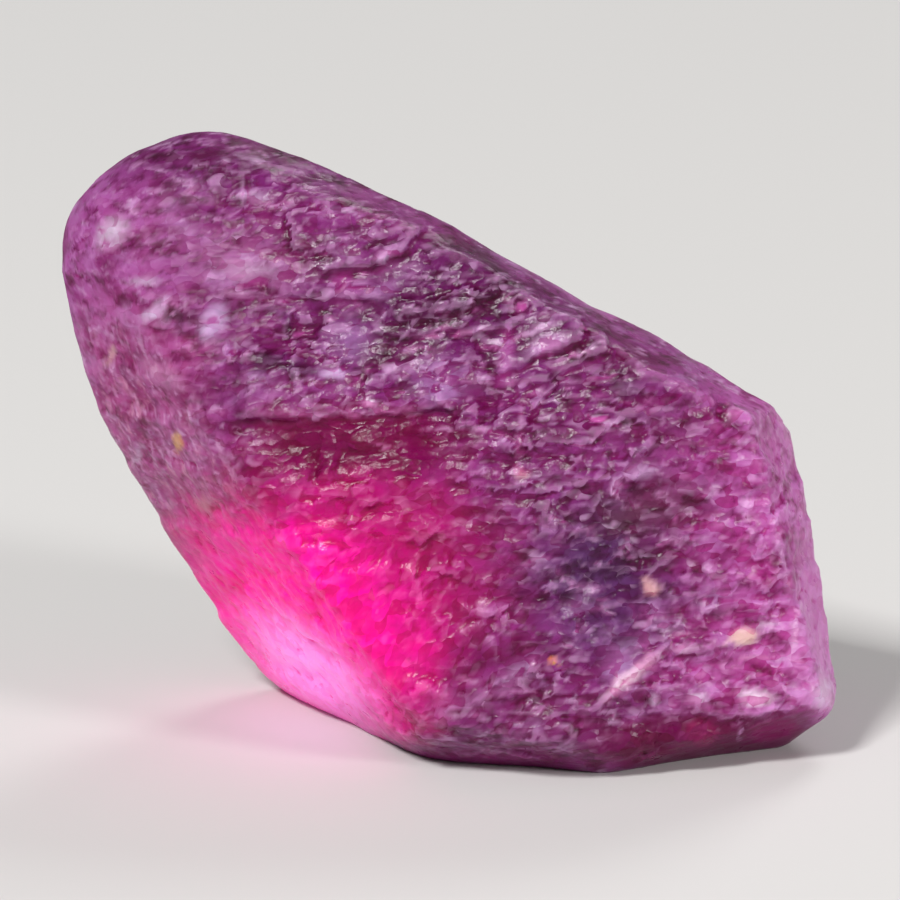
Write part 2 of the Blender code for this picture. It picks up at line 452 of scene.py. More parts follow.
class MeshRows:
    """A mesh's points as rows of numbers, with the links between neighbours."""

    def __init__(self, mesh: bpy.types.Mesh) -> None:
        """Read the links of a mesh.

        Args:
            mesh: the mesh to work on.
        """
        self.mesh = mesh
        self.count = len(mesh.vertices)
        edges = np.empty(len(mesh.edges) * 2, dtype=np.int64)
        mesh.edges.foreach_get("vertices", edges)
        pairs = edges.reshape(-1, 2)
        self.near = np.concatenate((pairs[:, 0], pairs[:, 1]))
        self.far = np.concatenate((pairs[:, 1], pairs[:, 0]))
        self.links = np.bincount(self.near, minlength=self.count)

    def read(self, source: object, name: str) -> np.ndarray:
        """Read a three-part property of every point, such as its place or normal."""
        rows = np.empty(self.count * 3)
        source.foreach_get(name, rows)
        return rows.reshape(-1, 3)

    def places(self) -> np.ndarray:
        """Give every point's place, in metres."""
        return self.read(self.mesh.vertices, "co")

    def normals(self) -> np.ndarray:
        """Give every point's normal."""
        return self.read(self.mesh.vertex_normals, "vector")

    def move(self, places: np.ndarray) -> None:
        """Put every point at a new place, in metres."""
        self.mesh.vertices.foreach_set("co", places.ravel())
        self.mesh.update()

    def spread(self, rows: np.ndarray, rounds: int) -> np.ndarray:
        """Average values over neighbours.

        Args:
            rows: one row of numbers per point.
            rounds: how many times each point takes the mean of its neighbours.

        Returns:
            The averaged rows.
        """
        result = rows
        for _ in range(rounds):
            columns = [
                np.bincount(self.near, weights=column[self.far], minlength=self.count) / self.links
                for column in result.T
            ]
            result = np.stack(columns, axis=1)
        return result

    def keep(self, layer: Layer, values: np.ndarray) -> None:
        """Store one number, or one direction, per point under the layer's name."""
        kind, name = ("FLOAT", "value") if values.ndim == 1 else ("FLOAT_VECTOR", "vector")
        attribute = self.mesh.attributes.new(layer.value, kind, "POINT")
        attribute.data.foreach_set(name, values.ravel().astype(np.float32))


@dataclass(frozen=True)
class FaceMap:
    """Where the skin is etched, worn, striped or glassy, from its place and the way it faces.

    Each span is where a share begins and where it is full. Those named for a turn are parts of the
    way out, from -1 to 1, and the rest are places on the stone in millimetres.
    """

    off_floor: Span = (0.10, 0.55)
    broad_turn: Span = (0.15, 0.80)
    end_turn: Span = (0.55, 0.85)
    front_turn: Span = (0.15, 0.40)
    under_turn: Span = (-0.3, -0.6)
    low_front_from: Span = (-2.2, -1.0)
    low_front_to: Span = (6.6, 5.2)
    worn_along: Span = (-2.6, -6.4)
    worn_up: Span = (0.0, 2.0)
    flank_turn: Span = (0.25, 0.65)
    flank_edge_turn: Span = (0.9, 0.6)
    flank_top: Span = (4.0, 2.0)
    steep_middle: Place = (-0.6, -4.2)
    steep_half: Place = (2.9, 3.0)
    steep_share: Span = (0.25, 0.75)
    least_etch: float = 0.16
    end_etch: float = 0.30
    low_front_etch: float = 0.8
    back_etch: float = 0.75
    worn_loss: float = 0.50
    least_glass: float = 0.12
    worn_glass_loss: float = 0.6

    def mark(self, rows: MeshRows, way_out: np.ndarray) -> None:
        """Store how strongly each point is etched, worn, glassy, striped, or on the steep grain.

        Args:
            rows: the fine mesh.
            way_out: the smoothed normals, in the room's frame.
        """
        points = rows.places()
        x, _, z = STONE.places(points).T
        normal_x, normal_y, normal_z = STONE.directions(way_out).T
        off_floor = smooth_step(self.off_floor, points[:, 2] / MM)
        broad_face = smooth_step(self.broad_turn, np.abs(normal_y))
        worn = smooth_step(self.worn_along, x) * smooth_step(self.worn_up, z)
        right_end = self.end_etch * smooth_step(self.end_turn, normal_x)
        low_front = smooth_step(self.front_turn, -normal_y) * smooth_step(self.under_turn, normal_z)
        low_front *= smooth_step(self.low_front_from, x) * smooth_step(self.low_front_to, x)
        etch = np.maximum(broad_face, np.maximum(right_end, self.low_front_etch * low_front))
        etch *= 1 - self.worn_loss * worn
        etch = np.where(normal_y > 0, self.back_etch * etch, etch)
        etch = (self.least_etch + (1 - self.least_etch) * etch) * off_floor
        glass = self.least_glass + (1 - self.least_glass) * broad_face
        flank = smooth_step(self.flank_turn, -normal_x) * smooth_step(self.flank_top, z)
        flank *= smooth_step(self.flank_edge_turn, np.abs(normal_y))
        across, up = (
            ((along - middle) / half) ** 2
            for along, middle, half in zip((x, z), self.steep_middle, self.steep_half)
        )
        rows.keep(Layer.ETCH, etch)
        rows.keep(Layer.WORN, worn)
        rows.keep(Layer.GLASS, glass * (1 - self.worn_glass_loss * worn))
        rows.keep(Layer.FLANK, flank * off_floor)
        rows.keep(Layer.STEEP, smooth_step(self.steep_share, np.exp(-across - up)) * (normal_y < 0))


@dataclass
class EtchedCrystal:
    """The crystal: the frame's solid, made fine, then given crisp ledges, pits and etched facets.

    Lengths are in millimetres. wobble is how far a ledge or pit wanders from its line; its seed is
    set, because the noise module otherwise starts from the clock. Slopes are how steep a chip's tilt
    may be, and rounds how many times a direction or place is averaged with its neighbours'.
    """

    faces: FaceMap = FaceMap()
    voxel: float = 0.098
    smoothing: int = 3
    smoothing_share: float = 0.5
    rim_softening: float = 0.35
    outward_rounds: int = 8
    normal_rounds: int = 2
    hollow_rounds: int = 3
    basin_rounds: int = 27
    cut_turn: Span = (-0.05, -0.35)
    ledge_fade: float = 0.3
    ledge_edge: float = 0.05
    pit_edge: float = 0.10
    wobble: float = 0.16
    wobble_size: float = 0.45
    wobble_seed: int = 5
    broad: Facets = Facets((1.6, 1.0), 6.0, 0.5, 0.0, 3.1)
    broad_slope: float = 0.20
    level: Facets = Facets((0.74, 0.40), 5.0, 0.9, 0.30, 17.7)
    steep: Facets = Facets((0.70, 0.42), 52.0, 0.9, 0.30, 29.3)
    facet_slope: float = 0.33
    steps: Terraces = Terraces((2.8, 0.80), 8.0, 0.50, 41.9)
    step_height: float = 0.030
    patch_scale: float = 0.55
    patch_span: Span = (0.38, 0.62)
    calmest: float = 0.35
    roughest: float = 1.15
    stripes: Terraces = Terraces((0.45, 3.2), 3.0, 0.6, 53.3)
    stripe_height: float = 0.035

    def build(self) -> bpy.types.Object:
        """Model the crystal.

        Returns:
            The finished piece, in metres, at the origin.
        """
        piece = self._fine_copy()
        rows = MeshRows(piece.data)
        way_out = rows.spread(rows.normals(), self.outward_rounds)
        way_out /= np.linalg.norm(way_out, axis=1, keepdims=True)
        rows.keep(Layer.WAY_OUT, way_out)
        self.faces.mark(rows, way_out)
        self._cut_ledges_and_pits(rows, way_out)
        apply_nodes(piece, "etched relief", self._relief)
        soften = piece.modifiers.new("rims etched soft", "SMOOTH")
        soften.factor = self.rim_softening
        soften.iterations = 1
        bpy.ops.object.modifier_apply(modifier=soften.name)
        self._finish(piece)
        return piece

    def _fine_copy(self) -> bpy.types.Object:
        """Copy the frame's solid, merge its corners and give it a fine, even mesh."""
        bpy.ops.object.select_all(action="DESELECT")
        source = frame_object(NODE_NAME)
        source.select_set(True)
        bpy.context.view_layer.objects.active = source
        bpy.ops.object.duplicate(linked=False)
        piece = bpy.context.view_layer.objects.active
        piece.name = "etched_sapphire_crystal"
        piece.data.name = piece.name
        bpy.ops.object.mode_set(mode="EDIT")
        bpy.ops.mesh.select_all(action="SELECT")
        bpy.ops.mesh.remove_doubles(threshold=1e-7)
        bpy.ops.object.mode_set(mode="OBJECT")
        remesh = piece.modifiers.new("fine even mesh", "REMESH")
        remesh.mode = "VOXEL"
        remesh.voxel_size = self.voxel * MM
        remesh.use_smooth_shade = True
        smooth = piece.modifiers.new("worn edges", "SMOOTH")
        smooth.factor = self.smoothing_share
        smooth.iterations = self.smoothing
        for modifier in (remesh, smooth):
            bpy.ops.object.modifier_apply(modifier=modifier.name)
        return piece

    def _cut_ledges_and_pits(self, rows: MeshRows, way_out: np.ndarray) -> None:
        """Sharpen the front's ledges and sink its pits.

        Args:
            rows: the fine mesh.
            way_out: the smoothed normals, in the room's frame.
        """
        points = rows.places()
        stone = STONE.places(points)
        noise.seed_set(self.wobble_seed)
        wander = np.array([noise.noise_vector(Vector(place) / self.wobble_size) for place in stone])
        x, _, z = (stone + wander * self.wobble).T
        front = smooth_step(self.cut_turn, STONE.directions(way_out)[:, 1])
        rise = np.zeros(rows.count)
        for ledge in LEDGES:
            above, past_end = above_line(ledge.points, x, z)
            lip = np.tanh(above / self.ledge_edge) * np.exp(-np.abs(above) / ledge.reach)
            rise += ledge.height / 2 * lip * np.exp(-((past_end / self.ledge_fade) ** 2))
        for pit in PITS:
            away_x = np.abs(x - pit.middle[0]) - pit.half[0]
            away_z = np.abs(z - pit.middle[1]) - pit.half[1]
            away = np.maximum(away_x, away_z)
            rise -= pit.depth * smooth_step((self.pit_edge, -self.pit_edge), away)
        rows.move(points + way_out * (rise * front * MM)[:, None])

    def _relief(
        self, tree: bpy.types.NodeTree, start: bpy.types.Node, place: bpy.types.Node
    ) -> bpy.types.Node:
        """Raise the etched facets, growth steps and stripes.

        Args:
            tree: the modifier's tree.
            start: the node that gives the mesh.
            place: the node that gives the place on the stone, in millimetres.

        Returns:
            The node that gives the moved mesh.
        """
        etch, flank, steep_share = (
            add_node(
                tree, "GeometryNodeInputNamedAttribute", {"data_type": "FLOAT"}, {"Name": layer.value}
            )
            for layer in (Layer.ETCH, Layer.FLANK, Layer.STEEP)
        )
        way_out = add_node(
            tree,
            "GeometryNodeInputNamedAttribute",
            {"data_type": "FLOAT_VECTOR"},
            {"Name": Layer.WAY_OUT.value},
        )
        broad, level, steep = (
            chips.grow(tree, place)[0] for chips in (self.broad, self.level, self.steep)
        )
        steps = self.steps.grow(tree, place)
        stripes = self.stripes.grow(tree, place)
        facets = add_node(
            tree, "ShaderNodeMix", {"data_type": "FLOAT"}, {"Factor": steep_share, "A": level, "B": steep}
        )
        etched = add_node(
            tree,
            "ShaderNodeMath",
            {"operation": "MULTIPLY"},
            {0: facets, 1: self.facet_slope * self.level.cell[1]},
        )
        for height, amount in (
            (broad, self.broad_slope * self.broad.cell[1]),
            (steps, self.step_height),
        ):
            etched = add_node(
                tree, "ShaderNodeMath", {"operation": "MULTIPLY_ADD"}, {0: height, 1: amount, 2: etched}
            )
        middle = self.step_height * self.steps.treads / 2
        centred = add_node(tree, "ShaderNodeMath", {"operation": "SUBTRACT"}, {0: etched, 1: middle})
        calm = add_node(
            tree, "ShaderNodeTexNoise", {}, {"Vector": place, "Scale": self.patch_scale, "Detail": 2.0}
        )
        rough = add_node(
            tree,
            "ShaderNodeMapRange",
            {"interpolation_type": "SMOOTHSTEP"},
            {
                "Value": calm.outputs[0],
                "From Min": self.patch_span[0],
                "From Max": self.patch_span[1],
                "To Min": self.calmest,
                "To Max": self.roughest,
            },
        )
        patchy = add_node(tree, "ShaderNodeMath", {"operation": "MULTIPLY"}, {0: etch, 1: rough})
        masked = add_node(tree, "ShaderNodeMath", {"operation": "MULTIPLY"}, {0: centred, 1: patchy})
        striped = add_node(
            tree, "ShaderNodeMath", {"operation": "MULTIPLY"}, {0: flank, 1: self.stripe_height}
        )
        rise = add_node(
            tree, "ShaderNodeMath", {"operation": "MULTIPLY_ADD"}, {0: stripes, 1: striped, 2: masked}
        )
        metres = add_node(tree, "ShaderNodeMath", {"operation": "MULTIPLY"}, {0: rise, 1: MM})
        offset = add_node(
            tree, "ShaderNodeVectorMath", {"operation": "SCALE"}, {0: way_out, "Scale": metres}
        )
        return add_node(tree, "GeometryNodeSetPosition", {}, {"Geometry": start, "Offset": offset})

    def _finish(self, piece: bpy.types.Object) -> None:
        """Keep the crystal inside the frame's box and measure its hollows for the material.

        Args:
            piece: the crystal.
        """
        rows = MeshRows(piece.data)
        lowest, highest = (np.array(corner) for corner in CAD_BOX)
        rows.move(np.clip(rows.places(), lowest, highest))
        points = rows.places()
        normals = rows.spread(rows.normals(), self.normal_rounds)
        near = rows.spread(points, self.hollow_rounds)
        wide = rows.spread(near, self.basin_rounds)
        rows.keep(Layer.HOLLOW, np.einsum("ij,ij->i", near - points, normals) / MM)
        rows.keep(Layer.BASIN, np.einsum("ij,ij->i", wide - near, normals) / MM)
        piece.data.materials.clear()


def frame_object(name: str) -> bpy.types.Object:
    """Find the object that the frame loaded for a node."""
    return next(o for o in bpy.data.objects if o.name == name)


@dataclass(frozen=True)
class Cloud:
    """A round place in the stone with a soft rim.

    middle and half are its middle and half sizes in mm, turn how many degrees its long side rises to
    the right, solid how far it covers what is there, and rim the share of it that is its soft rim.
    """

    middle: Triple
    half: Triple
    solid: float = 1.0
    rim: float = 0.8
    turn: float = 0.0

    def share(self, tree: bpy.types.NodeTree, place: object) -> bpy.types.Node:
        """Work out how far the cloud covers each place.

        Args:
            tree: a geometry tree.
            place: the place on the stone, in millimetres.

        Returns:
            The node that gives the share.
        """
        away = add_node(
            tree, "ShaderNodeVectorMath", {"operation": "SUBTRACT"}, {0: place, 1: self.middle}
        )
        turned = add_node(
            tree,
            "ShaderNodeVectorRotate",
            {"rotation_type": "Y_AXIS"},
            {"Vector": away, "Angle": math.radians(self.turn)},
        )
        scaled = add_node(tree, "ShaderNodeVectorMath", {"operation": "DIVIDE"}, {0: turned, 1: self.half})
        distance = add_node(tree, "ShaderNodeVectorMath", {"operation": "LENGTH"}, {0: scaled})
        return add_node(
            tree,
            "ShaderNodeMapRange",
            {"interpolation_type": "SMOOTHSTEP"},
            {
                "Value": distance.outputs["Value"],
                "From Min": 1.0,
                "From Max": 1.0 - self.rim,
                "To Max": self.solid,
            },
        )


@dataclass(frozen=True)
class Zone(Cloud):
    """A cloud of one colour in the stone."""

    colour: str = field(kw_only=True)

    def lay(self, tree: bpy.types.NodeTree, place: object, under: object) -> bpy.types.Node:
        """Lay the zone over a colour.

        Args:
            tree: a geometry tree.
            place: the place on the stone, in millimetres.
            under: the colour that it covers.

        Returns:
            The node that gives the new colour.
        """
        return add_node(
            tree,
            "ShaderNodeMix",
            {"data_type": "RGBA"},
            {"Factor": self.share(tree, place), "A": under, "B": linear(self.colour)},
        )


@dataclass(frozen=True)
class Mottle:
    """Ragged patches of one colour all over the stone.

    patch is a patch's width and height in mm, start and full the noise levels at which it begins and
    is fully there, solid how far it then covers what is under it, seed a shift that makes each its
    own, and multiplied whether it deepens the colour under it, as a glaze does.
    """

    colour: str
    patch: Place
    start: float
    full: float
    solid: float
    seed: float
    multiplied: bool = False

    def lay(
        self, tree: bpy.types.NodeTree, place: object, under: object, where: object = 1.0
    ) -> bpy.types.Node:
        """Lay the patches over a colour.

        Args:
            tree: a geometry tree.
            place: the place on the stone, in millimetres.
            under: the colour that they cover.
            where: how strongly they show at each point.

        Returns:
            The node that gives the new colour.
        """
        width, height = self.patch
        cells = add_node(
            tree,
            "ShaderNodeVectorMath",
            {"operation": "MULTIPLY_ADD"},
            {0: place, 1: (1 / width, 1 / width, 1 / height), 2: (self.seed,) * 3},
        )
        ragged = add_node(
            tree,
            "ShaderNodeTexNoise",
            {},
            {"Vector": cells, "Scale": 1.0, "Detail": 5.0, "Roughness": 0.65, "Distortion": 0.6},
        )
        share = add_node(
            tree,
            "ShaderNodeMapRange",
            {"interpolation_type": "SMOOTHSTEP"},
            {
                "Value": ragged.outputs[0],
                "From Min": self.start,
                "From Max": self.full,
                "To Max": self.solid,
            },
        )
        masked = add_node(tree, "ShaderNodeMath", {"operation": "MULTIPLY"}, {0: share, 1: where})
        return add_node(
            tree,
            "ShaderNodeMix",
            {"data_type": "RGBA", "blend_type": "MULTIPLY" if self.multiplied else "MIX"},
            {"Factor": masked, "A": under, "B": linear(self.colour)},
        )


# The hot-pink core, brightest in the stone and the only part that glows: painted light, a glow standing in
# for light shone up through the stone from below.
HOT_CORE = Zone((-4.0, -3.5, -4.4), (5.1, 13.0, 4.4), 1.0, 0.65, -14.0, colour="#fa009c")

# Milky mauve ends, violet-blue and brownish patches, and darker clouds, one of them painted shade in a
# pocket; the last three are on the back.
BODY_ZONES = (
    Zone((-8.2, 0.0, 4.8), (4.4, 9.0, 4.2), 0.9, colour="#b05ea6"),
    Zone((-6.9, -1.0, 0.4), (3.0, 6.0, 5.0), 0.95, 0.6, colour="#b85898"),
    Zone((8.6, 0.0, -1.0), (4.8, 9.0, 6.6), 0.95, colour="#c86cb8"),
    Zone((8.4, -2.0, -5.0), (4.4, 7.0, 2.4), 0.9, colour="#c878bc"),
    Zone((0.5, -4.5, 3.7), (5.6, 4.0, 2.6), 0.9, colour="#5c0a50"),
    Zone((-5.0, -2.5, 7.3), (4.2, 5.0, 1.5), 0.9, 0.7, -8.0, colour="#701a64"),
    Zone((-4.2, -4.5, 4.7), (2.3, 3.0, 1.5), 0.9, colour="#a06494"),
    Zone((4.2, -4.5, -2.8), (2.4, 4.0, 2.8), 0.95, colour="#54285e"),
    Zone((5.9, -4.5, -0.9), (1.5, 3.0, 1.0), 0.7, colour="#622844"),
    Zone((2.3, -4.5, -6.1), (3.0, 4.0, 1.4), 0.8, colour="#782462"),
    Zone((3.7, -3.0, 4.2), (5.6, 4.0, 0.55), 0.7, 0.7, -28.5, colour="#a05896"),
    Zone((-5.74, -4.0, 3.39), (0.60, 3.0, 0.42), 0.9, colour="#560e44"),
    # Painted shade in the pocket round the etch pit at x -2.9, z 3.1.
    Zone((-3.28, -4.0, 3.34), (0.45, 3.0, 0.65), 0.9, colour="#560e4c"),
    Zone((-3.40, -4.0, 2.24), (1.60, 3.0, 0.34), 0.9, colour="#480a3c"),
    Zone((-1.80, -3.0, 7.00), (1.70, 4.0, 0.70), 0.8, colour="#64185a"),
    Zone((1.06, -4.0, 4.82), (1.20, 3.0, 0.90), 0.7, colour="#5c1450"),
    Zone((3.04, -4.5, 1.67), (0.95, 3.0, 0.60), 0.8, colour="#64145a"),
    Zone((4.67, -4.5, 1.86), (1.10, 3.0, 0.50), 0.8, colour="#601656"),
    Zone((4.88, -4.5, -1.27), (1.30, 3.0, 0.85), 0.8, colour="#5c3048"),
    Zone((3.5, 4.5, -2.0), (3.4, 4.0, 3.0), 0.8, colour="#6c2470"),
    Zone((-3.0, 4.5, 3.5), (3.0, 3.5, 2.2), 0.8, colour="#9a5090"),
    Zone((4.5, 4.5, 2.0), (2.4, 3.5, 1.6), 0.7, colour="#a84484"),
)

# The pink that fades out round the core, painted light fading out from the glow over the stone's own pink,
# and the dark red band above it, painted shade under the long ledge over the clear stone's deep colour.
GLOW_ZONES = (
    Zone((-5.9, -1.0, -2.2), (1.7, 6.0, 2.4), 0.8, colour="#a83878"),
    Zone((-2.0, -3.5, -2.8), (5.0, 9.0, 4.9), 0.95, 0.7, colour="#b2046a"),
    Zone((-1.5, -4.5, -5.4), (2.4, 4.0, 2.8), 0.85, colour="#d00c7c"),
    HOT_CORE,
    # Painted shade under the long ledge, over the clear stone's deep wine colour.
    Zone((-1.5, -4.5, 0.45), (3.5, 3.5, 1.10), 0.97, 0.6, colour="#700044"),
)

# Clearer stone, where less of the pale colour, partly silk and partly painted highlight, veils the skin.
CLEAR_ZONES = (
    Cloud((-1.5, -4.5, 0.35), (3.8, 3.5, 1.4), 0.97, 0.6),
    Cloud((-1.2, -4.5, -2.8), (4.8, 6.0, 4.6), 0.55, 0.7),
    Cloud((6.8, -2.5, -6.9), (4.2, 6.0, 1.0), 0.95, 0.4, 2.0),
    Cloud((0.5, -2.5, -7.6), (5.0, 6.0, 0.9), 0.9, 0.5, 2.0),
)

# Single veils, pale inclusions, fine growth lines, tan specks and the banded foot; the pale lines on the
# ledge lips and a few glare and glint marks are painted highlights, and one dark mark is painted shade in a
# pit.
MARKS = (
    Zone((2.6, -0.6, 3.4), (5.6, 3.0, 0.95), 0.60, 0.9, -25.0, colour="#c47abc"),
    # A painted highlight: pale pink in the lower part of the glowing core.
    Zone((-3.1, -3.0, -5.0), (3.2, 9.0, 1.5), 0.95, 0.7, -36.0, colour="#ff9af0"),
    Zone((6.6, -2.5, -6.6), (3.7, 5.0, 0.85), 0.9, 0.35, 2.0, colour="#640040"),
    Zone((0.5, -2.5, -7.4), (4.6, 6.0, 0.80), 0.7, 0.6, colour="#7a1458"),
    Zone((6.5, -3.0, -6.4), (0.45, 4.0, 0.40), 0.6, 0.4, colour="#8a1c5a"),
    Zone((8.3, -3.0, -6.4), (0.80, 4.0, 0.36), 0.7, 0.4, colour="#84145c"),
    Zone((8.6, -2.5, -7.1), (2.4, 5.0, 0.34), 0.8, 0.6, 8.0, colour="#b8489a"),
    Zone((5.33, -4.5, -2.91), (0.28, 1.5, 0.38), 0.85, 0.6, colour="#d9a4a8"),
    Zone((7.55, -4.0, -4.10), (0.45, 2.0, 0.34), 0.90, 0.6, 24.0, colour="#e8c4b4"),
    # A painted glint: a white flash at the lower right.
    Zone((7.82, -4.0, -5.51), (0.66, 2.0, 0.28), 0.9, 0.6, colour="#ecd2e8"),
    # These two are painted highlights: lavender-white glare on the worn end, partly pale silk.
    Zone((-7.5, -3.0, 5.4), (0.75, 2.5, 0.50), 0.85, 0.9, 40.0, colour="#e6d4ea"),
    Zone((-3.95, -4.5, 6.25), (0.80, 2.5, 0.36), 0.75, 0.9, -6.0, colour="#e0c8e6"),
    Zone((-6.74, -4.0, 4.27), (0.70, 2.5, 0.20), 0.85, 0.8, 4.0, colour="#d8c4e0"),
    Zone((-6.39, -4.0, 3.63), (0.65, 2.5, 0.28), 0.85, 0.7, 40.0, colour="#d4bcdc"),
    Zone((-4.25, -4.5, 4.52), (1.20, 2.5, 0.44), 0.75, 0.9, -4.0, colour="#c8b0c8"),
    Zone((-5.03, -4.0, 3.34), (0.70, 2.5, 0.45), 0.75, 0.8, 60.0, colour="#c0a4cc"),
    Zone((-1.85, -4.5, 4.15), (0.70, 2.5, 0.38), 0.70, 0.8, colour="#b868ac"),
    Zone((-2.14, -4.5, 2.12), (0.45, 2.5, 0.24), 0.80, 0.8, colour="#cca8d4"),
    Zone((-1.35, -4.5, 1.46), (0.26, 2.5, 0.16), 0.85, 0.7, colour="#e0d0e0"),
    Zone((-1.80, -4.5, 2.90), (0.95, 2.5, 0.90), 0.60, 0.9, colour="#a470ac"),
    Zone((0.35, -4.5, 1.84), (0.95, 2.5, 0.85), 0.60, 0.9, colour="#a878b0"),
    Zone((1.90, -4.5, 2.55), (0.30, 2.5, 0.95), 0.65, 0.8, colour="#b060a4"),
    Zone((2.88, -4.5, 2.80), (0.90, 2.5, 0.30), 0.75, 0.8, 25.0, colour="#c088bc"),
    Zone((5.10, -4.5, -0.20), (0.60, 2.5, 0.28), 0.65, 0.8, 10.0, colour="#b88cb8"),
    Zone((7.91, -4.0, 0.91), (0.07, 2.5, 0.70), 0.70, 0.8, -8.0, colour="#cc98c4"),
    Zone((9.40, -1.5, -2.80), (1.10, 5.0, 3.60), 0.75, 0.7, -8.0, colour="#cc80c0"),
    Zone((8.60, -1.5, 1.20), (0.90, 5.0, 1.50), 0.60, 0.8, -8.0, colour="#c476b4"),
    Zone((8.77, -3.0, -3.90), (0.07, 4.0, 1.10), 0.75, 0.8, -8.0, colour="#d8a8d0"),
    Zone((4.30, -1.5, 3.95), (4.80, 4.0, 0.50), 0.65, 0.7, -29.0, colour="#bc78b0"),
    Zone((6.48, -4.5, -5.59), (0.42, 2.0, 0.24), 0.85, 0.7, colour="#dcc0dc"),
    Zone((5.41, -4.5, -5.66), (0.24, 2.0, 0.24), 0.80, 0.7, colour="#d8bcdc"),
    Zone((4.60, -4.5, -4.65), (0.90, 2.0, 0.55), 0.65, 0.9, 40.0, colour="#b08cbc"),
    Zone((6.77, -4.5, -3.30), (0.65, 2.0, 0.75), 0.55, 0.9, colour="#b080b4"),
    Zone((2.20, -4.5, -5.00), (1.00, 2.0, 0.40), 0.65, 0.9, 40.0, colour="#a880a8"),
    Zone((6.10, -4.5, -4.08), (0.55, 2.0, 0.10), 0.75, 0.8, colour="#d8b0cc"),
    Zone((9.40, -2.5, -5.45), (0.40, 4.0, 0.60), 0.70, 0.8, colour="#e0c8e4"),
    Zone((-5.86, -2.5, 0.45), (0.18, 5.0, 0.32), 0.85, 0.6, colour="#d8a868"),
    Zone((-7.55, -2.0, 2.55), (0.14, 5.0, 0.34), 0.7, 0.7, -20.0, colour="#d2a6a8"),
    Zone((-6.90, -2.0, 0.10), (0.14, 5.0, 0.60), 0.6, 0.8, -12.0, colour="#d8c0dc"),
    Zone((-6.20, -2.0, 2.10), (0.90, 5.0, 0.40), 0.6, 0.9, -30.0, colour="#c890b8"),
    Zone((-5.30, -3.0, -1.00), (0.50, 4.0, 0.40), 0.6, 0.9, colour="#caa0a0"),
    Zone((3.02, -4.5, -4.73), (0.15, 1.5, 0.15), 0.9, 0.6, colour="#e0aa60"),
    Zone((-5.02, -4.0, -0.43), (0.35, 1.5, 0.30), 0.6, colour="#d09aa0"),
    Zone((2.26, -4.5, -0.19), (0.30, 1.5, 0.22), 0.7, colour="#dcb0b8"),
    Zone((4.90, -4.5, -5.02), (1.25, 2.0, 0.26), 0.95, 0.6, 40.0, colour="#dcb4cc"),
    Zone((6.10, -4.5, -4.40), (0.60, 1.5, 0.12), 0.7, 0.8, -3.0, colour="#d0a4bc"),
    Zone((7.36, -4.2, -4.14), (0.70, 1.5, 0.12), 0.7, 0.8, 32.0, colour="#dcb4b0"),
    Zone((8.05, -3.5, -3.78), (0.65, 1.5, 0.09), 0.7, 0.8, 4.0, colour="#c89ac0"),
    Zone((2.20, -4.5, 0.70), (0.10, 1.5, 1.00), 0.6, colour="#c48cb8"),
    Zone((8.35, -3.5, -1.80), (0.10, 2.5, 2.00), 0.6, 0.8, 10.0, colour="#c48abc"),
    Zone((7.39, -3.0, -6.40), (0.05, 2.5, 0.50), 0.7, 0.8, 2.0, colour="#c890c4"),
    # These two are painted highlights: glints on the lip of a ledge near the top.
    Zone((-0.85, -4.5, 4.98), (0.75, 2.0, 0.18), 0.7, 0.8, 14.0, colour="#c890c4"),
    Zone((-1.00, -4.5, 4.85), (0.22, 2.0, 0.18), 0.8, 0.7, 20.0, colour="#dcc0e4"),
    Zone((2.24, -4.5, 3.56), (0.20, 2.0, 0.20), 0.8, 0.5, colour="#e2c6e4"),
    Zone((4.07, -4.5, 1.03), (0.32, 2.0, 0.12), 0.85, 0.6, colour="#e8c8ea"),
    Zone((6.62, -4.5, -3.15), (0.07, 2.0, 0.55), 0.6, colour="#c48ab8"),
    Zone((7.12, -4.5, -3.15), (0.07, 2.0, 0.55), 0.6, 0.8, 4.0, colour="#c48ab8"),
    Zone((-5.30, -4.0, -0.50), (0.16, 2.0, 1.20), 0.5, 0.8, -6.0, colour="#b078a6"),
    # The next seven are pale lines on ledge lips: painted highlight where the lips catch the light.
    Zone((-1.80, -4.5, 1.17), (2.40, 2.0, 0.07), 0.6, 0.8, 2.0, colour="#c48cb8"),
    Zone((-4.20, -4.5, 3.96), (0.90, 2.0, 0.10), 0.6, colour="#cfa4cc"),
    Zone((-2.20, -4.5, 3.95), (1.20, 2.0, 0.07), 0.6, colour="#c08cba"),
    Zone((0.60, -4.5, 3.00), (1.20, 2.0, 0.08), 0.7, 0.7, 5.0, colour="#d0a0c8"),
    Zone((1.10, -4.5, 2.36), (0.85, 2.0, 0.06), 0.7, 0.7, colour="#c896c0"),
    Zone((0.90, -4.5, 0.76), (1.35, 2.0, 0.06), 0.6, 0.7, colour="#c896c0"),
    Zone((-0.90, -4.5, 0.42), (0.60, 2.0, 0.06), 0.7, 0.7, colour="#d8b0cc"),
    Zone((8.00, -3.5, -4.58), (0.80, 2.0, 0.07), 0.6, 0.7, 3.0, colour="#d4a8c4"),
    Zone((6.60, -4.5, -3.40), (0.06, 2.0, 0.60), 0.6, 0.7, -8.0, colour="#cc9cc4"),
    Zone((2.60, -4.5, 3.05), (0.95, 2.0, 0.08), 0.7, 0.7, 22.0, colour="#d0a4cc"),
    Zone((3.60, -4.5, 2.62), (0.90, 2.0, 0.07), 0.7, 0.7, 18.0, colour="#d0a4cc"),
    # Painted shade in the etch pit at the same place.
    Zone((6.97, -4.2, 1.25), (0.10, 2.0, 0.24), 0.8, 0.6, 60.0, colour="#5a0a3c"),
)

